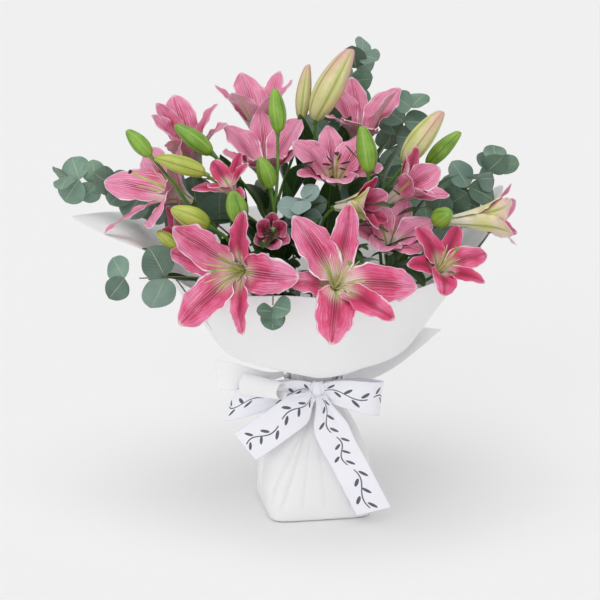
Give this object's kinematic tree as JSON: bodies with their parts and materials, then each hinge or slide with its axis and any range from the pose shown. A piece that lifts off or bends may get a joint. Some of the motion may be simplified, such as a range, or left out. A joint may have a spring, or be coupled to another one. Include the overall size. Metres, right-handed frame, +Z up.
{
  "type": "wrapped bouquet of lilies",
  "caption": "Bunch of oriental lilies with buds and eucalyptus, wrapped in white paper with a satin bow, standing on its flat water-filled paper foot.",
  "frame": {"origin": "middle of the flat underside of the paper foot", "axes": "+Z up, -Y towards the front with the bow, +X to the right seen from the front"},
  "size_m": [0.6007, 0.4973, 0.6101],
  "materials": {
    "petals_pink": "soft petals, deep pink at the middle and pale at the edges",
    "petals_pale": "soft petals, pale pink backs",
    "buds_green": "waxy green",
    "buds_cream": "waxy cream with pink",
    "stamens": "smooth pale green",
    "lily_stems": "smooth green",
    "eucalyptus": "matt grey-green",
    "wrapping_paper": "matt white non-woven paper",
    "satin_ribbon": "white satin",
    "twine": "rough",
    "water_bag": "clear film over water"
  },
  "bodies": {
    "root": {"bloom_centre": "petals_pale", "bloom_centre_right": "petals_pale", "bloom_far_right": "petals_pale", "bloom_front_left": "petals_pink", "bloom_front_right": "petals_pink", "bloom_left": "petals_pink", "bloom_lower_left": "petals_pale", "bloom_mid_right": "petals_pale", "bloom_right": "petals_pink", "bloom_right_back": "petals_pale", "bloom_small_front": "petals_pale", "bloom_small_left": "petals_pale", "bloom_top_left": "petals_pale", "bloom_top_right": "petals_pale", "bloom_upper_left": "petals_pale", "bloom_upper_right": "petals_pale", "bud_centre": "buds_green", "bud_left_long": "buds_cream", "bud_left_tip": "buds_green", "bud_low_left": "buds_cream", "bud_middle": "buds_green", "bud_right_centre": "buds_green", "bud_right_large": "buds_cream", "bud_right_low": "buds_green", "bud_right_tip": "buds_green", "bud_side_left": "buds_green", "bud_top_centre": "buds_green", "bud_top_large": "buds_cream", "bud_top_small": "buds_cream", "bud_upper_left": "buds_green", "eucalyptus_centre": "eucalyptus", "eucalyptus_left": "eucalyptus", "eucalyptus_low_front": "eucalyptus", "eucalyptus_low_left": "eucalyptus", "eucalyptus_right": "eucalyptus", "eucalyptus_top": "eucalyptus", "eucalyptus_top_right": "eucalyptus", "foot_wrap": "wrapping_paper", "lily_stem_back_left": "lily_stems", "lily_stem_back_right": "lily_stems", "lily_stem_front_left": "lily_stems", "lily_stem_front_right": "lily_stems", "lily_stem_left": "lily_stems", "lily_stem_right": "lily_stems", "ribbon_band": "satin_ribbon", "ribbon_knot": "satin_ribbon", "ribbon_loop_left": "satin_ribbon", "ribbon_loop_right": "satin_ribbon", "ribbon_tail_left": "satin_ribbon", "ribbon_tail_right": "satin_ribbon", "stamens_front_left": "stamens", "stamens_front_right": "stamens", "stamens_right": "stamens", "twine_tie": "twine", "water_bag": "water_bag", "wrap_back": "wrapping_paper", "wrap_collar": "wrapping_paper", "wrap_frill_left": "wrapping_paper", "wrap_lower_right": "wrapping_paper", "wrap_side_right": "wrapping_paper"}
  },
  "joints": []
}
